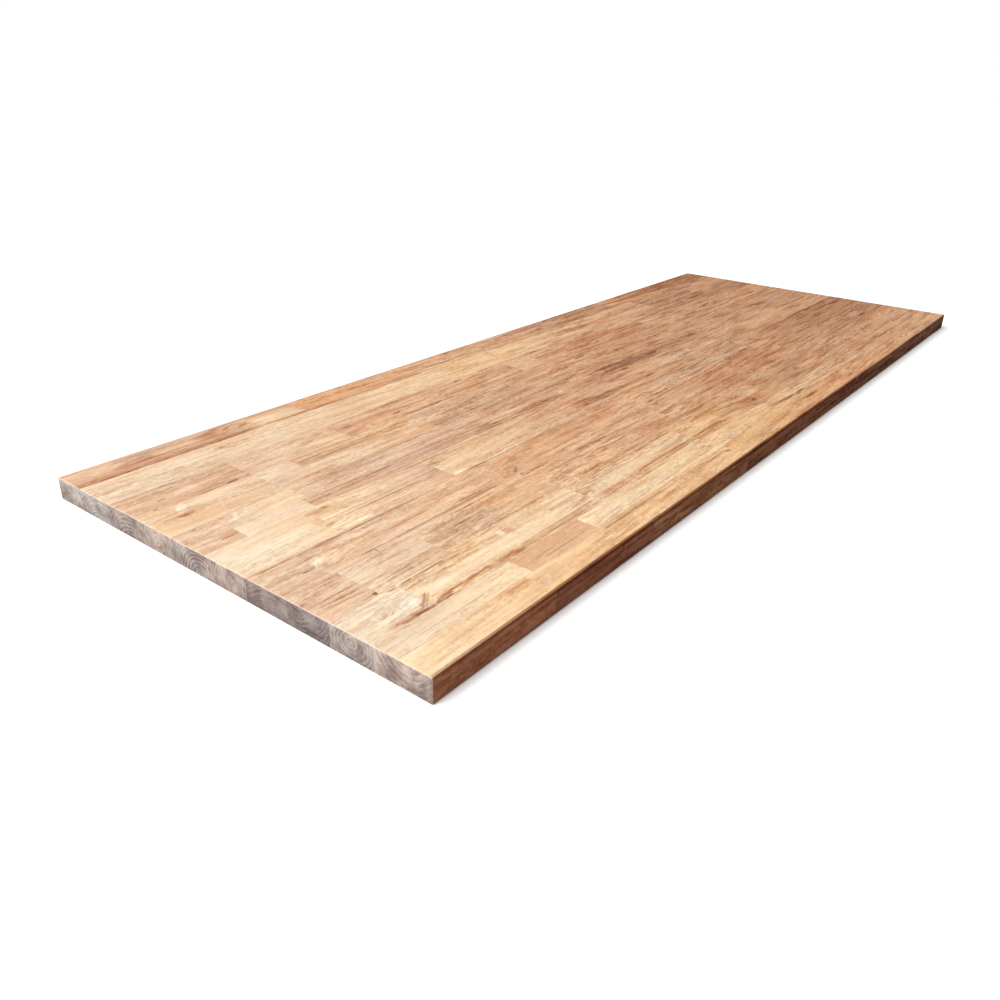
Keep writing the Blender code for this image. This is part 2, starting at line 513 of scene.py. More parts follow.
def saw_block(name, low, high):
    """A block at its size and place, its outer edges eased and its upper face finely cut."""
    bpy.ops.object.select_all(action="DESELECT")
    bpy.ops.mesh.primitive_cube_add(size=1.0, location=(low + high) / 2, scale=high - low)
    block = bpy.context.object
    block.name = name
    bpy.ops.object.transform_apply(location=True, rotation=True, scale=True)
    bpy.ops.object.mode_set(mode="EDIT")
    bpy.ops.mesh.select_mode(type="EDGE")
    bpy.ops.mesh.select_all(action="DESELECT")
    mesh = bmesh.from_edit_mesh(block.data)
    for edge in mesh.edges:
        edge.select_set(faces_at((edge.verts[0].co + edge.verts[1].co) / 2) >= 2)
    if any(edge.select for edge in mesh.edges):
        bmesh.update_edit_mesh(block.data)
        bpy.ops.mesh.bevel(offset=ARRIS, segments=ARRIS_STEPS, affect="EDGES")
    for axis, spacing in ((0, CUT_ALONG), (1, CUT_ACROSS)):
        cut_upper_face(block, axis, round((high - low)[axis] / spacing))
    bpy.ops.object.mode_set(mode="OBJECT")
    return block


def open_check(block, check):
    """Sinks the upper face where the stave has an open check."""
    centre, reach = check["feeds"]["Centre"], check["feeds"]["Reach"]
    for vertex in block.data.vertices:
        if vertex.co.z < TOP - ARRIS / 2:
            continue
        along = (vertex.co.x - centre.x) * reach[0]
        across = (vertex.co.y - centre.y) * reach[1]
        nearness = 1.0 - along * along - across * across
        if nearness > 0:
            vertex.co.z -= check["deep"] * nearness


def wear_upper_face(block, low, high, marks):
    """Gives the upper face its sanding waves, its dips along the glue lines and its open checks."""
    inner = block.vertex_groups.new(name="inner")
    for vertex in block.data.vertices:
        if vertex.co.z < TOP - ON_FACE:
            continue
        rim = min(vertex.co.x - low.x, high.x - vertex.co.x, vertex.co.y - low.y, high.y - vertex.co.y)
        if rim > ARRIS + ON_FACE:
            inner.add([vertex.index], min(1.0, rim / WAVE_START), "REPLACE")
        elif faces_at(vertex.co) < 2 and rim < ON_FACE:
            vertex.co.z -= SEAM_DIP
    waves = block.modifiers.new("sanding waves", "DISPLACE")
    waves.texture = sanding
    waves.texture_coords = "OBJECT"
    waves.texture_coords_object = sander
    waves.direction = "Z"
    waves.mid_level = 1.0
    waves.strength = SANDING_WAVE
    waves.vertex_group = inner.name
    bpy.ops.object.modifier_apply(modifier=waves.name)
    block.vertex_groups.clear()
    for each in marks:
        if each["deep"]:
            open_check(block, each)


sanding = bpy.data.textures.new("sanding", "CLOUDS")
sanding.noise_scale = WAVE_LENGTH
bpy.ops.object.empty_add()
sander = bpy.context.object
sander.scale = SANDER_STRETCH


def lay_stave(node, tone, fades_to=None, pith=None, ring_width=7, end_tone=END_GREY,
              end_rings=1.0, edge_stain_and_shade=SIDE_STAIN_AND_SHADE, figure=1.0, tint=0.35, rings=0.12, stripes=0.2,
              dashes=0.3, marks=()):
    """Makes one stave where the frame has it.

    Pith is the heart of its log at the near end, across from the left edge and in height. It and
    the width of a growth ring are in millimetres.
    """
    low, high = (Vector(corner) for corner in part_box(node))
    for axis in (0, 1):
        if low[axis] - cad_box[0][axis] > ON_FACE:
            low[axis] -= SQUEEZE_OUT
        if cad_box[1][axis] - high[axis] > ON_FACE:
            high[axis] += SQUEEZE_OUT
    aside = saw_log.uniform(-HEART_ASIDE, HEART_ASIDE)
    height = saw_log.uniform(HEART_LOW, HEART_HIGH)
    lean = (0.0, saw_log.uniform(-LOG_SLOPE, LOG_SLOPE), saw_log.uniform(-LOG_SLOPE, LOG_SLOPE))
    if pith:
        start, heart = NEAR, Vector((0.0, LEFT - pith[0] / 1000, pith[1] / 1000))
    else:
        start = (low.x + high.x) / 2
        heart = Vector((0.0, (low.y + high.y) / 2 + aside, height))
    heart -= Vector((0.0, lean[1] * start, lean[2] * start))
    block = saw_block(node + "_teak", low, high)
    wear_upper_face(block, low, high, marks)
    bpy.ops.object.shade_smooth_by_angle(angle=SHARP_FROM)
    grain = {"Pith": heart, "Lean": lean, "Ring Width": ring_width / 1000, "Wander": RING_WANDER,
             "Tint": tint}
    look = {"End Tone": (*end_tone, 1.0), "End Rings": end_rings, "Edge Stain And Shade": (*edge_stain_and_shade, 1.0),
            "Figure": figure, "Ring Strength": rings, "Stripe Strength": stripes,
            "Fleck Strength": FLECK_STRENGTH, "Dash Strength": dashes}
    block.data.materials.append(stave_material(
        node + "_teak", (low.x, high.x), (tone, fades_to or tone), grain, look, marks))
    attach(block, "root")
    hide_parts(node)


lay_stave("row01_stave1", BROWN, TAN, pith=(22, 6), end_tone=END_PALE, end_rings=0.4,
          figure=0.7, tint=0.25, stripes=0.35, dashes=0, marks=(
    patch(45, 26, 140, 40, BUTTER, 0.7),
    patch(215, 32, 120, 30, BUTTER, 0.55),
    patch(130, 48, 100, 26, RUST, 0.8),
    streak(220, 46, 200, 6, 0.35),
    patch(200, 66, 460, 18, RUST, 0.9),
    streak(210, 71.5, 460, 7, 0.6),
    patch(330, 30, 140, 60, RUST, 0.6),
    streak(345, 22, 50, 5, turn=-25),
    streak(372, 36, 40, 5, turn=-25),
    swirl(355, 32, 12, 0.5),
))
lay_stave("row01_stave2", WHEAT, AMBER, figure=0.8, tint=0.25, stripes=0.1,
          dashes=0.17, marks=(
    patch(455, 38, 120, 42, GLOW, 0.6),
    streak(450, 10, 140, 14, 0.35),
    streak(460, 69, 150, 10, 0.5),
))
lay_stave("row01_stave3", SIENNA, APRICOT, figure=1.03, tint=0.3, stripes=0.3,
          dashes=0.42, marks=(
    streak(560, 40, 80, 6),
    patch(640, 30, 120, 20, RUST, 0.5),
    streak(700, 71.5, 420, 7, 0.55),
    patch(870, 30, 100, 20, RUST, 0.45),
    streak(950, 54, 140, 6, 0.4),
    streak(820, 3, 800, 6, 0.35),
    patch(950, 45, 80, 14, IVORY, 0.7),
    patch(1095, 65, 75, 18, PEAT, 0.38),
))
lay_stave("row01_stave4", AMBER, UMBER, figure=1.19, stripes=0.35, dashes=0.77, marks=(
    streak(1340, 60, 240, 8),
    streak(1380, 30, 140, 7),
    streak(1560, 62, 160, 9, 0.55),
    streak(1440, 4, 600, 8),
    patch(1640, 30, 200, 30, RUST, 0.5),
    patch(1495, 38, 100, 40, APRICOT, 0.5),
))
lay_stave("row01_stave5", SIENNA, WALNUT, figure=1.24, stripes=0.5, dashes=0.85, marks=(
    streak(1980, 36, 140, 8, 0.4),
    patch(2100, 30, 300, 40, RUST, 0.7),
    streak(2200, 55, 400, 12, 0.5),
    streak(2080, 5, 600, 10, 0.55),
    patch(2310, 30, 160, 30, PEAT, 0.45),
    patch(2160, 12, 260, 18, PEAT, 0.75),
    patch(1898, 27, 100, 20, SIENNA, 0.6),
))


# Row 2: two long honey staves with hardly a mark on them, and a tan one at the far end.
# The first is the longest stave of the panel. All three are planed from clear, straight teak
# and glued between the rows on either side.

GOLD = (0.80, 0.51, 0.27)
HAZEL = (0.61, 0.32, 0.165)
CHESTNUT = (0.55, 0.29, 0.155)

lay_stave("row02_stave1", IVORY, GOLD, end_tone=END_PALE, end_rings=0.8, figure=0.72,
          tint=0.3, rings=0.25, stripes=0.12, dashes=0.17, marks=(
    patch(160, 106, 240, 30, GLOW, 0.35),
    patch(560, 112, 340, 30, GLOW, 0.25),
    knot(275, 103, 3.5, 0.36),
    knot(610, 80, 4, 0.36),
    streak(225, 145, 60, 5, 0.45, RUST),
    streak(380, 166, 400, 4, 0.39),
    streak(780, 166, 300, 4, 0.39),
))
lay_stave("row02_stave2", GOLD, AMBER, figure=1.08, rings=0.35, dashes=0.59, marks=(
    patch(1560, 125, 300, 40, RUST),
    knot(1490, 130, 7, 0.6, 0.4),
    streak(1425, 113, 120, 10, 0.59),
    patch(1410, 112, 150, 18, RUST, 0.38),
    streak(1560, 122, 140, 6, 0.59),
    patch(1478, 122, 130, 44, PEAT, 0.65),
    streak(1543, 162, 100, 12, 0.4),
    patch(1760, 106, 170, 26, TAN, 0.5),
    patch(1300, 112, 180, 22, PEAT, 0.38),
))
lay_stave("row02_stave3", CHESTNUT, HAZEL, figure=1.24, dashes=0.85, marks=(
    streak(1930, 140, 140, 10, 0.52),
    streak(2120, 104, 140, 10, 0.52),
    patch(2240, 130, 200, 30, APRICOT),
    patch(2080, 149, 130, 24, PEAT, 0.8),
    patch(2035, 112, 110, 40, PEAT),
    streak(2290, 164, 110, 10, 0.5),
))


# Row 3: six staves, brown and streaky with two pale blocks let in between them. The old checks
# in the brown teak stay open and dark, and no glue or filler closes them.

HONEY = (0.77, 0.53, 0.31)
STRAW = (0.70, 0.47, 0.30)


def crack(along, across, length, width, dark=0.75):
    """An open check in the face, sharp and dark."""
    return on_top(along, across, length, width, colour=BARK, share=dark, rim=0.35, deep=CHECK_DEPTH)


lay_stave("row03_stave1", TAN, end_rings=1.1, figure=0.75, tint=0.25, stripes=0.3,
          dashes=0.34, marks=(
    streak(90, 188, 45, 5, 0.72),
    streak(40, 200, 45, 5, 0.59),
    streak(67, 218, 22, 6, 0.65),
    streak(160, 205, 50, 5),
    patch(118, 213, 55, 16, GLOW, 0.6),
    streak(214, 212, 42, 9, 0.4),
    crack(40, 244, 10, 6, 0.5),
    crack(134, 248.5, 36, 4),
    crack(192, 247, 28, 6),
))
lay_stave("row03_stave2", STRAW, HONEY, figure=0.7, tint=0.25, rings=0.3,
          dashes=0.26, marks=(
    knot(440, 190, 3.5, 0.4),
    knot(390, 203, 3, 0.36),
    streak(300, 219, 100, 3, 0.39),
    streak(340, 242, 200, 4, 0.52),
    patch(300, 228, 100, 10, GLOW, 0.35),
))
lay_stave("row03_stave3", AMBER, figure=1.03, tint=0.3, stripes=0.35, dashes=0.59, marks=(
    patch(540, 182, 150, 24, GLOW, 0.35),
    streak(640, 171, 300, 6),
    crack(505, 205, 30, 5),
    crack(600, 206, 22, 4),
    crack(632, 224, 22, 5),
    swirl(570, 235, 10, 0.4),
    patch(600, 237, 110, 22, PEAT),
    crack(722, 244, 70, 5),
    streak(800, 247, 100, 4, 0.59),
    streak(885, 180, 35, 10, 0.65),
    streak(1005, 218, 90, 5, 0.65),
    knot(1045, 215, 5, 0.75, 0.4),
    patch(738, 204, 120, 18, HONEY, 0.6),
    patch(828, 221, 140, 18, WHEAT, 0.55),
    streak(950, 247.5, 220, 5),
))
lay_stave("row03_stave4", APRICOT, figure=0.8, tint=0.3, rings=0.2, stripes=0.05,
          dashes=0.34)
lay_stave("row03_stave5", AMBER, figure=1.13, stripes=0.35, dashes=0.77, marks=(
    patch(1400, 215, 420, 80, RUST, 0.7),
    streak(1182, 212, 65, 14, 0.52),
    knot(1345, 216, 7, 0.75, 0.5),
    streak(1450, 210, 100, 7, 0.59),
    patch(1280, 240, 200, 16, RUST, 0.52),
    streak(1640, 243, 35, 8, 0.78),
    patch(1325, 217, 90, 42, APRICOT, 0.45),
))
lay_stave("row03_stave6", AMBER, UMBER, figure=1.24, stripes=0.3, dashes=0.85, marks=(
    patch(2150, 200, 300, 60, RUST, 0.35),
    patch(1880, 200, 360, 80, DUSK, 0.35),
    knot(1830, 240, 8, 0.7, 0.4),
    patch(1930, 215, 200, 50, DUSK, 0.38),
    streak(2050, 196, 100, 10, 0.52),
    streak(2280, 220, 120, 12, 0.52),
    patch(2290, 176, 110, 18, PEAT, 0.45),
    patch(1826, 239, 65, 14, PEAT, 0.45),
))


# Row 4: a honey stave, then a stretch where two narrow strips lie side by side, one of them
# with a dark stave in it, and then three full staves again. The strips are ripped from the same
# stock and glued along their split before the row is closed.

BLEACHED = (0.94, 0.82, 0.64)
END_WARM = (0.60, 0.46, 0.39)

lay_stave("row04_stave1", HONEY, STRAW, pith=(304, 22), end_tone=END_WARM, figure=0.6,
          tint=0.25, rings=0.2, stripes=0.12, dashes=0, marks=(
    patch(165, 266, 260, 30, GLOW, 0.55),
    patch(120, 318, 260, 40, WHEAT, 0.55),
    patch(72, 267, 32, 20, BLEACHED, 0.65, turn=-50),
    patch(62, 296, 36, 12, RUST, 0.7),
    knot(63, 297, 6, 0.48, 0.6),
))
lay_stave("row04_stave2_left1", IVORY, STRAW, figure=0.6, tint=0.25, rings=0.2,
          stripes=0.1, dashes=0)
lay_stave("row04_stave2_left2", TAN, GOLD, figure=0.85, tint=0.3, stripes=0.35,
          dashes=0.34, marks=(
    patch(480, 277, 260, 28, PEAT, 0.3),
    streak(350, 270, 70, 6, 0.52),
    streak(460, 283, 260, 12, 0.39),
    streak(520, 274, 100, 4, 0.52),
    streak(600, 288, 60, 5, 0.52),
    patch(610, 286, 44, 14, GLOW, 0.5, turn=-45),
    patch(550, 256, 60, 12, PEAT, 0.35),
))
lay_stave("row04_stave2_right1", IVORY, APRICOT, figure=0.75, tint=0.3, rings=0.3,
          dashes=0.17, marks=(
    streak(298, 330, 30, 4, 0.52),
    knot(315, 332, 5, 0.6, 0.3),
    knot(355, 330, 4, 0.28),
    patch(580, 318, 50, 18, GLOW, 0.55),
    knot(626, 335, 5, 0.44, 0.4),
    streak(450, 343, 300, 4, 0.39),
))
lay_stave("row04_stave3", TAN, AMBER, figure=1.08, tint=0.3, stripes=0.3,
          dashes=0.59, marks=(
    patch(860, 322, 500, 44, DUSK, 0.45),
    knot(1147, 312, 8, 0.8, 0.5),
    streak(900, 296, 80, 6, 0.52),
    streak(760, 330, 180, 6),
    patch(795, 272, 110, 28, STRAW, 0.8),
    patch(710, 324, 100, 18, STRAW, 0.6),
    patch(950, 256, 220, 12, PEAT, 0.35),
    patch(890, 311, 140, 16, PEAT),
))
lay_stave("row04_stave4", AMBER, HAZEL, figure=1.13, stripes=0.3, dashes=0.77, marks=(
    patch(1400, 270, 440, 50, RUST, 0.6),
    patch(1560, 335, 300, 30, DUSK, 0.3),
    streak(1240, 290, 55, 7, 0.72),
    knot(1362, 328, 8, 0.7, 0.4),
    patch(1440, 335, 300, 20, DUSK, 0.3),
    patch(1258, 296, 85, 14, PEAT),
))
lay_stave("row04_stave5", HAZEL, figure=1.24, dashes=0.85, marks=(
    streak(1860, 292, 80, 9, 0.78),
    patch(1795, 268, 30, 12, GLOW, 0.5),
    knot(2040, 284, 8, 0.5),
    streak(2240, 310, 120, 12, 0.52),
    patch(2060, 287, 130, 22, PEAT, 0.45),
))


# Row 5: a short brown end, then pale and tan strips side by side, and then three full staves,
# the second of them the darkest heartwood of the panel. The strips meet end to end in plain
# glued butt joints, as all the staves do.

CREAM = (0.80, 0.62, 0.43)

lay_stave("row05_stave1", STRAW, pith=(421, -4), end_rings=1.3, figure=0.7, tint=0.25,
          stripes=0.3, dashes=0.17, marks=(
    knot(40, 352, 4, 0.36),
    patch(70, 398, 30, 44, HAZEL, 0.6),
    streak(64, 413, 36, 4, 0.72),
    patch(48, 421, 18, 6, GLOW, 0.5),
))
lay_stave("row05_stave2_left1", IVORY, HONEY, figure=0.6, tint=0.2, rings=0.2,
          dashes=0, marks=(
    knot(93, 352, 4.5, 0.48, 0.4),
    swirl(112, 352, 9, 0.35),
    patch(112, 361, 34, 12, BLEACHED, 0.5, turn=-50),
))
lay_stave("row05_stave2_left2", STRAW, TAN, figure=0.85, tint=0.3, stripes=0.3,
          dashes=0.26, marks=(
    streak(420, 349.5, 380, 4, 0.65),
    streak(400, 355, 260, 3),
    patch(330, 365, 120, 20, DUSK, 0.22),
))
lay_stave("row05_stave2_right1", CREAM, IVORY, figure=0.5, tint=0.2, rings=0.15,
          stripes=0.05, dashes=0)
lay_stave("row05_stave2_right2", TAN, BROWN, figure=0.85, tint=0.3, stripes=0.35,
          dashes=0.26, marks=(
    streak(385, 410, 90, 5, 0.72),
    streak(300, 404, 140, 4),
    patch(570, 423, 150, 14, DUSK, 0.45),
))
lay_stave("row05_stave3", TAN, HAZEL, figure=1.08, tint=0.3, stripes=0.4,
          dashes=0.59, marks=(
    streak(695, 412, 50, 12, 0.59),
    crack(726, 420, 18, 5),
    patch(720, 423, 160, 16, DUSK, 0.45),
    knot(900, 415, 6, 0.4, 0.6),
    streak(850, 425, 140, 7, 0.59),
    patch(982, 410, 24, 12, GLOW, 0.7),
    streak(930, 418, 70, 5, 0.65),
    streak(1060, 430, 60, 5, 0.65),
    patch(817, 356, 80, 22, STRAW, 0.55),
    streak(722, 431, 130, 6, 0.4),
))
lay_stave("row05_stave4", HAZEL, figure=1.13, stripes=0.4, dashes=0.77, marks=(
    patch(1420, 405, 580, 56, DUSK, 1.0),
    patch(1280, 402, 340, 50, DUSK, 0.6),
    crack(1237, 430, 34, 8),
    streak(1400, 413, 60, 16, 0.78),
    patch(1560, 410, 260, 40, DUSK, 0.38),
    patch(1352, 427, 170, 14, PEAT, 0.45),
))
lay_stave("row05_stave5", HAZEL, CHESTNUT, figure=1.24, dashes=0.85, marks=(
    patch(1800, 405, 220, 16, STRAW, 0.55),
    streak(1730, 425, 50, 9, 0.59),
    streak(2130, 395, 80, 22, 0.52),
))


# Row 6, down the middle: five of the widest staves, pale at the near end, partly from painted light, and
# striped past the middle. The wood is sawn flat from near the heart, so its figure runs in long arches.

lay_stave("row06_stave1", CREAM, HONEY, pith=(497, 20), end_tone=END_WARM, figure=0.5,
          tint=0.2, rings=0.15, stripes=0.08, dashes=0, marks=(
    patch(90, 490, 200, 50, BLEACHED, 0.3),
    streak(180, 482, 12, 30, 0.45, HAZEL),
))
lay_stave("row06_stave2", BUTTER, TAN, figure=0.75, tint=0.25, rings=0.35,
          dashes=0.17, marks=(
    knot(227, 449, 5, 0.48, 0.4),
    streak(190, 482, 12, 34, 0.59, HAZEL),
    streak(194, 502, 18, 12, 0.72, RUST),
    streak(300, 496.5, 200, 4, 0.52),
    patch(452, 505, 45, 50, HAZEL, 0.45),
    patch(232, 526, 80, 14, BLEACHED, 0.75),
))
lay_stave("row06_stave3", HONEY, AMBER, figure=0.9, tint=0.3, rings=0.35,
          dashes=0.51, marks=(
    patch(490, 526, 45, 10, BLEACHED, 0.75),
    streak(560, 527.5, 180, 4, 0.45, BLEACHED),
    streak(700, 531.5, 420, 3, 0.72),
    patch(600, 480, 220, 50, HONEY),
    patch(722, 439, 130, 10, PEAT),
))
lay_stave("row06_stave4", HAZEL, AMBER, figure=1.13, stripes=0.3, dashes=0.77, marks=(
    patch(1000, 488, 170, 80, DUSK),
    patch(1400, 480, 340, 110, MOSS, 0.9),
    streak(1060, 504, 280, 6, 0.5),
    patch(1060, 516, 260, 8, GLOW, 0.5),
    streak(950, 502, 24, 7, 0.6),
    crack(1232, 502, 36, 8),
    streak(960, 485, 80, 9, 0.4),
    streak(1232, 480, 40, 7, 0.78),
    streak(1270, 530, 100, 6, 0.72),
    streak(1180, 530.5, 130, 7),
    patch(1223, 501, 130, 14, PEAT, 0.42),
))
lay_stave("row06_stave5", AMBER, HAZEL, figure=1.19, rings=0.35, dashes=0.77, marks=(
    patch(1620, 490, 240, 100, MOSS, 0.9),
    patch(1930, 490, 300, 50, WHEAT),
    knot(1800, 492, 10, 0.4, 0.5),
    streak(2200, 470, 120, 12, 0.52),
))


# Row 7: five staves of tan and orange teak with fine dark lines, brown at the far end, partly from
# painted shade. The first is a short offcut with flat growth rings, glued in to stagger the joints.

END_TAUPE = (0.38, 0.29, 0.26)


def end_patch(across, height, width, tall, colour, share):
    """A patch of another tone on the near end, in millimetres."""
    centre = Vector((NEAR, LEFT - across / 1000, height / 1000))
    reach = (FACE_REACH, 2 / (width / 1000), 2 / (tall / 1000))
    return mark(centre, reach, colour, share, rim=0.0, ragged=0.6, face="Sawn End")


lay_stave("row07_stave1", STRAW, pith=(600, -60), end_tone=END_TAUPE, end_rings=0.7,
          figure=0.7, tint=0.25, stripes=0.3, dashes=0.26, marks=(
    streak(50, 540, 90, 5, 0.59),
    streak(74, 589, 30, 6, 0.78),
    streak(40, 572, 60, 4),
    end_patch(627, 21, 3, 60, END_PALE, 0.8),
))
lay_stave("row07_stave2", STRAW, APRICOT, figure=0.8, tint=0.25, stripes=0.35,
          dashes=0.34, marks=(
    streak(250, 541, 340, 6, 0.6),
    patch(170, 543, 90, 14, DUSK, 0.7),
    swirl(104, 574, 11, 0.4),
    patch(102, 575, 34, 18, BLEACHED, 0.6, turn=-55),
    patch(250, 565, 65, 18, IVORY, 0.55),
    streak(280, 586, 120, 6, 0.6, RUST),
    streak(325, 614.5, 380, 5, 0.6),
    crack(165, 613, 36, 4, 0.55),
    patch(158, 617, 36, 10, PEAT, 0.35),
    streak(181, 620, 6, 14),
    streak(534, 606, 36, 6, 0.65),
    streak(330, 622.5, 300, 3, 0.6, GLOW),
    streak(440, 606, 120, 5, 0.5),
    patch(515, 617, 75, 12, PEAT, 0.38),
))
lay_stave("row07_stave3", AMBER, figure=1.03, tint=0.3, stripes=0.3, dashes=0.59, marks=(
    patch(800, 562, 460, 60, RUST, 0.35),
    streak(563, 599, 34, 9, 0.6, turn=-32),
    streak(553, 619, 16, 6, 0.6, turn=-20),
    patch(600, 560, 24, 22, RUST, 0.68),
    patch(910, 560, 110, 30, RUST, 0.45),
    streak(780, 590, 120, 5, 0.52),
    patch(721, 587, 140, 14, WHEAT, 0.55),
))
lay_stave("row07_stave4", APRICOT, CHESTNUT, figure=1.13, stripes=0.3, dashes=0.77, marks=(
    patch(1380, 556, 440, 50, MOSS, 0.9),
    patch(1440, 610, 440, 40, RUST, 0.65),
    patch(1390, 560, 130, 24, DUSK, 0.52),
    streak(1590, 585, 60, 10, 0.78),
    patch(1610, 575, 60, 8, GLOW, 0.5),
    streak(1140, 585, 100, 7, 0.59),
    patch(1195, 540, 150, 13, PEAT),
))
lay_stave("row07_stave5", HAZEL, WALNUT, figure=1.19, stripes=0.4, dashes=0.85, marks=(
    patch(2050, 560, 300, 50, RUST, 0.35),
    streak(2060, 570, 120, 14, 0.59),
    streak(2265, 545, 110, 14, 0.65),
    streak(2320, 575, 100, 16, 0.65),
    patch(2230, 609, 65, 18, PEAT, 0.45),
))


# Row 8, six staves: a greyish end, a pale stave, a purple-brown one, and then long orange-brown
# ones. The end is weathered teak that was only sawn clean, so it stays darker than the rest.

END_DUSK = (0.32, 0.25, 0.23)

lay_stave("row08_stave1", STRAW, pith=(650, 60), ring_width=6, end_tone=END_DUSK,
          figure=0.75, tint=0.2, stripes=0.35, dashes=0.42, marks=(
    streak(50, 668, 90, 3, 0.4, turn=2),
    streak(50, 679, 90, 4, 0.55, turn=4),
    streak(55, 689, 90, 4, 0.5, turn=7),
    streak(45, 645, 80, 4),
    streak(78, 628.5, 40, 4, 0.55),
    streak(78, 709, 30, 5, 0.4),
    crack(91.5, 709, 9, 8, 0.85),
    end_patch(676, 30, 50, 18, END_PALE, 0.5),
    end_patch(680, 10, 60, 12, PEAT, 0.45),
))
lay_stave("row08_stave2", IVORY, STRAW, figure=0.65, tint=0.25, rings=0.3,
          dashes=0.17, marks=(
    streak(180, 652, 100, 3),
    streak(160, 690, 80, 3),
))
lay_stave("row08_stave3", HONEY, APRICOT, figure=0.9, tint=0.3, dashes=0.25, marks=(
    patch(325, 668, 200, 90, DUSK, 0.7),
    patch(338, 690, 20, 14, GLOW, 0.7, turn=-25),
    patch(450, 648, 120, 22, RUST, 0.7),
    streak(330, 660, 120, 5, 0.55),
    streak(420, 703, 180, 6, 0.55),
    patch(470, 639, 50, 14, STRAW, 0.5),
))
lay_stave("row08_stave4", APRICOT, AMBER, figure=1.03, tint=0.3, stripes=0.35,
          dashes=0.59, marks=(
    knot(750, 672, 5, 0.4, 0.2),
    patch(752, 672, 34, 12, RUST, 0.9),
    patch(930, 678, 180, 30, RUST, 0.55),
    streak(930, 672, 160, 7),
    streak(640, 650, 140, 6),
    patch(968, 632, 85, 14, PEAT, 0.45),
))
lay_stave("row08_stave5", AMBER, HAZEL, figure=1.08, stripes=0.4, dashes=0.77, marks=(
    patch(1440, 660, 480, 70, RUST, 0.55),
    streak(1250, 692, 160, 7, 0.52),
    streak(1490, 628.5, 200, 8, 0.72, RUST),
    streak(1530, 685, 70, 20, 0.52),
    patch(1050, 638, 80, 16, PEAT),
    patch(1287, 656, 190, 14, APRICOT, 0.55),
))
lay_stave("row08_stave6", HAZEL, UMBER, figure=1.19, stripes=0.4, dashes=0.85, marks=(
    streak(1930, 629, 180, 9, 0.78),
    streak(1790, 686, 160, 7, 0.59),
    streak(2225, 700, 70, 12, 0.95),
    patch(2305, 661, 70, 20, CHESTNUT, 0.5),
))


# Row 9: five staves, pale ones first, with a brown streak along their right side that runs into
# a knot. The streak is heartwood at the edge of the board, and the sound knot is planed over.

OCHRE = (0.74, 0.44, 0.21)

# The scar of a branch, which runs over the joint of the first two staves
branch_scar = (
    patch(124, 773, 48, 14, RUST, 0.6, turn=-37),
    streak(122, 773, 46, 5, 0.6, turn=-37),
    streak(128, 775, 44, 3, 0.45, turn=-37),
)

lay_stave("row09_stave1", CREAM, pith=(755, 28), end_rings=0.9, figure=0.55, tint=0.2,
          rings=0.4, dashes=0, marks=(
    crack(114, 718.5, 24, 6, 0.9),
    swirl(48, 754, 7, 0.35),
    swirl(112, 762, 7, 0.35),
    patch(111, 762, 20, 12, BLEACHED, 0.6, turn=-30),
    patch(76, 789, 80, 20, RUST, 0.85),
    patch(112, 792, 60, 10, RUST, 0.6),
    streak(76, 789, 50, 10, 0.4),
    streak(110, 793.5, 100, 7, 0.65),
    *branch_scar,
    end_patch(715.5, 21, 3, 60, END_PALE, 0.9),
    end_patch(793, 21, 3, 60, END_PALE, 0.8),
))
lay_stave("row09_stave2", BUTTER, HONEY, figure=0.75, tint=0.25, rings=0.35, stripes=0.15,
          dashes=0.09, marks=(
    patch(330, 728, 400, 26, RUST, 0.35),
    patch(330, 760, 360, 26, GLOW),
    crack(142, 718.5, 24, 5, 0.65),
    crack(190, 718, 70, 4, 0.65),
    patch(190, 723.5, 40, 6, BLEACHED, 0.7),
    patch(170, 735, 130, 36, DUSK),
    patch(160, 762, 70, 24, BLEACHED),
    knot(131, 762, 3, 0.4, 0.4, 0.3),
    knot(140, 773, 3, 0.4, 0.4, 0.3),
    *branch_scar,
    patch(132, 787, 14, 8, BLEACHED, 0.6, turn=-30),
    patch(150, 790, 50, 14, RUST, 0.75),
    streak(150, 789, 50, 10, 0.4),
    streak(145, 793, 80, 7, 0.65),
    patch(245, 788, 220, 20, RUST, 0.75),
    patch(350, 735, 18, 26, BLEACHED, 0.65),
    patch(365, 735, 26, 28, RUST, 0.8),
    patch(360, 786, 400, 16, RUST),
    streak(230, 783.5, 160, 4, 0.4),
    streak(430, 779, 260, 5),
    streak(430, 790.5, 280, 4),
))
lay_stave("row09_stave3", HONEY, WHEAT, figure=0.85, tint=0.3, rings=0.35, stripes=0.15,
          dashes=0.34, marks=(
    patch(740, 721, 360, 20, RUST, 0.45),
    patch(740, 752, 340, 30, GLOW, 0.35),
    knot(556, 752, 5, 0.6, 0.6),
    streak(565, 746, 30, 4, 0.6, turn=30),
    patch(640, 783, 190, 22, RUST, 0.65),
    patch(760, 779, 420, 18, RUST, 0.5),
    streak(810, 776, 260, 6, 0.6),
))
lay_stave("row09_stave4", OCHRE, UMBER, figure=1.13, stripes=0.25, dashes=0.68, marks=(
    patch(1000, 782, 200, 18, RUST, 0.7),
    streak(990, 775, 160, 7, 0.6),
    streak(1110, 770, 110, 7, 0.6),
    knot(1236, 773, 9, 0.9, 0.8),
    swirl(1240, 732, 20, 0.5),
    streak(1228, 724, 60, 4, 0.55, turn=-16),
    streak(1236, 729, 40, 4, 0.55, turn=-22),
    streak(1228, 741, 60, 4, 0.55, turn=20),
    streak(1240, 736, 36, 4, 0.5, turn=24),
    patch(1420, 755, 240, 40, SIENNA),
    patch(1070, 765, 150, 16, RUST, 0.7),
    patch(1292, 770, 60, 20, OCHRE, 0.5),
    patch(1154, 737, 50, 26, STRAW, 0.5),
))
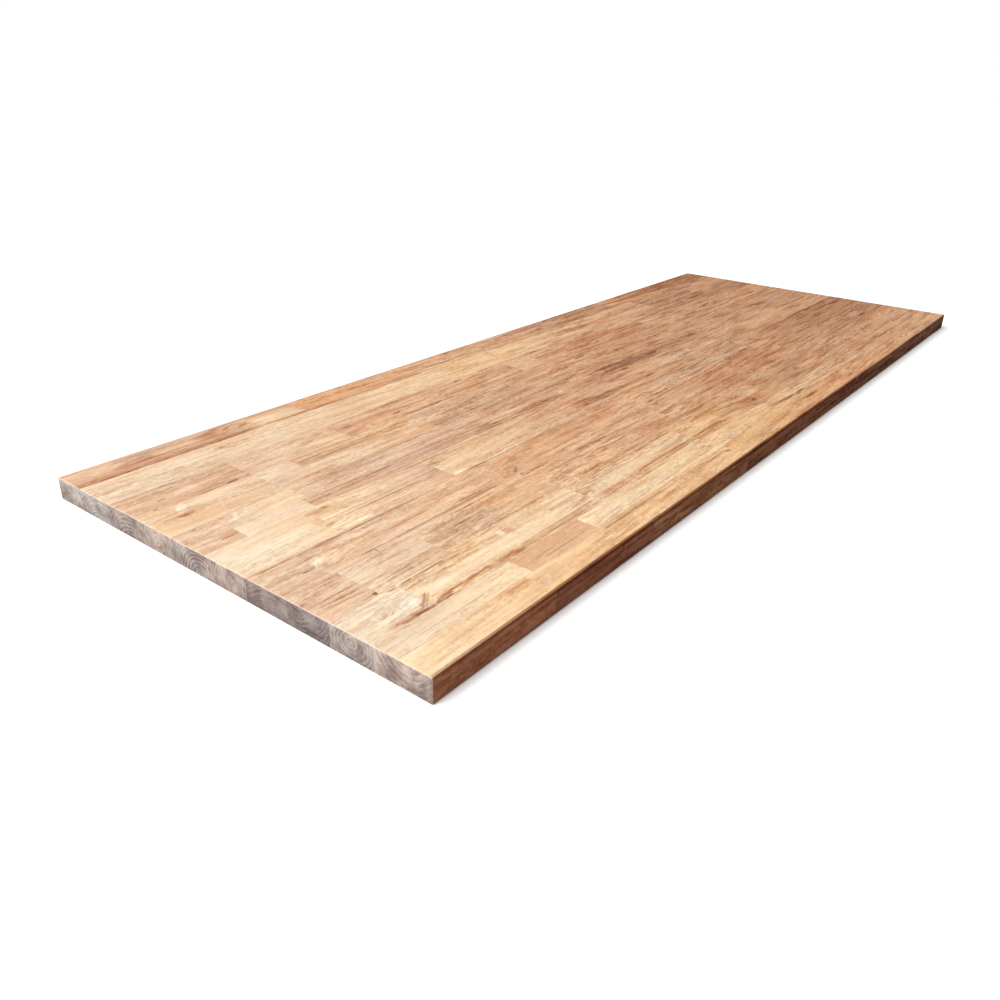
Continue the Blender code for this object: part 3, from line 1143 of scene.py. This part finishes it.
lay_stave("row09_stave5", HAZEL, figure=1.19, dashes=0.77, marks=(
    streak(1760, 740, 140, 10, 0.59),
    patch(2250, 765, 260, 40, WHEAT),
    streak(2080, 760, 120, 10, 0.52),
))


# Row 10, five strips ripped to half width: pale teak with one tan stave, and dark flecks past
# the middle. At the near end it comes from the same board as row 11, so both share one pith.

lay_stave("row10_stave1", IVORY, BUTTER, pith=(854, 62), ring_width=8.5, end_tone=END_WARM,
          end_rings=0.7, figure=0.5, tint=0.2, rings=0.15, stripes=0.05, dashes=0, marks=(
    streak(140, 826, 220, 3, 0.26),
))
lay_stave("row10_stave2", APRICOT, figure=0.7, tint=0.25, rings=0.25, stripes=0.15,
          dashes=0.17, marks=(
    streak(375, 832, 160, 5),
    streak(360, 822, 120, 3, 0.33),
))
lay_stave("row10_stave3", BUTTER, OCHRE, figure=0.75, tint=0.3, rings=0.3, stripes=0.1,
          dashes=0.17, marks=(
    patch(620, 820, 300, 20, GLOW, 0.35),
    streak(897, 814, 26, 8, 0.6),
    streak(905, 822, 20, 5, 0.5, turn=30),
))
lay_stave("row10_stave4", WHEAT, AMBER, figure=1.03, rings=0.3, dashes=0.59, marks=(
    streak(1250, 826, 120, 6, 0.5),
    crack(1305, 830, 60, 8),
    crack(1366, 832, 60, 8),
    streak(1560, 812, 140, 8, 0.5),
))
lay_stave("row10_stave5", HAZEL, AMBER, figure=1.13, rings=0.35, dashes=0.77)


# Row 11, the other half, along the right long edge: five strips of honey teak. The sides of
# these are the dark ones in the picture, stained each in its own way where the oil soaked in, and
# darkened further by painted shade, as they face away from the light.

SIDE_BRICK = (0.82, 0.46, 0.38)
SIDE_PLUM = (0.63, 0.35, 0.32)
SIDE_CLAY = (0.76, 0.53, 0.48)
SIDE_COCOA = (0.55, 0.35, 0.30)
SIDE_EARTH = (0.50, 0.35, 0.32)

lay_stave("row11_stave1", BUTTER, GOLD, pith=(854, 62), ring_width=8.5, end_tone=END_WARM,
          end_rings=0.7, edge_stain_and_shade=SIDE_BRICK, figure=0.6, tint=0.2, rings=0.2, dashes=0, marks=(
    patch(232, 852, 80, 24, RUST, 0.5),
    streak(244, 850, 40, 6, 0.5, RUST),
    # A pale strip down the near right corner of the end: painted highlight where the rounded corner
    # catches the light
    end_patch(893, 22, 14, 70, END_PALE, 0.5),
))
lay_stave("row11_stave2", GOLD, edge_stain_and_shade=SIDE_PLUM, figure=0.7, tint=0.25, rings=0.3,
          dashes=0.17, marks=(
    patch(280, 874, 44, 14, BLEACHED, 0.22, turn=-40),
    streak(515, 852.5, 90, 6, 0.65),
))
lay_stave("row11_stave3", GOLD, OCHRE, edge_stain_and_shade=SIDE_CLAY, figure=0.85, tint=0.3,
          rings=0.35, dashes=0.34, marks=(
    streak(605, 852, 130, 7, 0.65),
    streak(850, 857, 120, 4, 0.5),
    streak(912, 862, 24, 10, 0.6, turn=30),
))
lay_stave("row11_stave4", OCHRE, SIENNA, edge_stain_and_shade=SIDE_COCOA, figure=1.03,
          dashes=0.59, marks=(
    streak(1360, 861, 90, 10, 0.85),
    streak(1160, 862, 100, 5, 0.5),
    streak(1290, 856, 100, 5, 0.5),
))
lay_stave("row11_stave5", SIENNA, APRICOT, edge_stain_and_shade=SIDE_EARTH, figure=1.13,
          stripes=0.3, dashes=0.77, marks=(
    patch(1668, 875, 60, 16, GOLD, 0.6),
))

bpy.data.objects.remove(sander)


# The floor that the top lies on, white paper under a soft light from above and a weak sun, and
# the camera, which looks down over the near left corner as in the photograph.

FLOOR_WIDTH = 60.0
FLOOR_GAP = 0.0005       # keeps the floor clear of the underside, where the two would flicker
FLOOR_SHADE = (0.25, 0.25, 0.25)
WHITE = (1.0, 1.0, 1.0)
FLOOR_GLOW = 0.15
SKY_STRENGTH = 0.30
SEEN_SKY_STRENGTH = 0.70    # what is added where the camera looks straight at the sky
SUN_TURN = (-14, -36, 0)
SUN_STRENGTH = 2.75
SUN_WIDTH = 50
SOFTBOX_PLACE = (-1.9, 0.2, 2.2)
SOFTBOX_TURN = (0, -15, 0)
SOFTBOX_WIDTH = 1.6
SOFTBOX_STRENGTH = 22.0
CAMERA_PLACE = (-1.841, -1.044, 0.714)
CAMERA_TURN = (63.86, -1.15, -51.73)
CAMERA_LENS = 31.73


def in_radians(angles):
    """Angles in degrees, as Blender takes them."""
    return [math.radians(angle) for angle in angles]


bpy.ops.object.select_all(action="DESELECT")
bpy.ops.mesh.primitive_plane_add(size=FLOOR_WIDTH, location=(0.0, 0.0, cad_box[0][2] - FLOOR_GAP))
floor = bpy.context.object
floor.name = "floor"
paper = bpy.data.materials.new("white paper")
paper.use_nodes = True
tree = paper.node_tree
shader = tree.nodes["Principled BSDF"]
shader.inputs["Roughness"].default_value = 1.0
shader.inputs["Specular IOR Level"].default_value = 0.0
seen = wire(tree, "ShaderNodeLightPath", {}).outputs["Is Camera Ray"]
tree.links.new(mix(seen, FLOOR_SHADE, WHITE), shader.inputs["Base Color"])
shader.inputs["Emission Color"].default_value = (*WHITE, 1.0)
tree.links.new(times(seen, FLOOR_GLOW), shader.inputs["Emission Strength"])
floor.data.materials.append(paper)

world = bpy.data.worlds.new("studio")
bpy.context.scene.world = world
world.use_nodes = True
tree = world.node_tree
sky = tree.nodes["Background"]
seen = wire(tree, "ShaderNodeLightPath", {}).outputs["Is Camera Ray"]
strength = plus(times(seen, SEEN_SKY_STRENGTH), SKY_STRENGTH)
tree.links.new(strength, sky.inputs["Strength"])
sky.inputs["Color"].default_value = (*WHITE, 1.0)

bpy.ops.object.light_add(type="SUN", rotation=in_radians(SUN_TURN))
sun = bpy.context.object
sun.data.energy = SUN_STRENGTH
sun.data.angle = math.radians(SUN_WIDTH)

bpy.ops.object.light_add(type="AREA", location=SOFTBOX_PLACE, rotation=in_radians(SOFTBOX_TURN))
softbox = bpy.context.object
softbox.data.shape = "DISK"
softbox.data.size = SOFTBOX_WIDTH
softbox.data.energy = SOFTBOX_STRENGTH

bpy.ops.object.camera_add(location=CAMERA_PLACE, rotation=in_radians(CAMERA_TURN))
camera = bpy.context.object
camera.data.lens = CAMERA_LENS
bpy.context.scene.camera = camera
bpy.context.scene.view_settings.view_transform = "Standard"
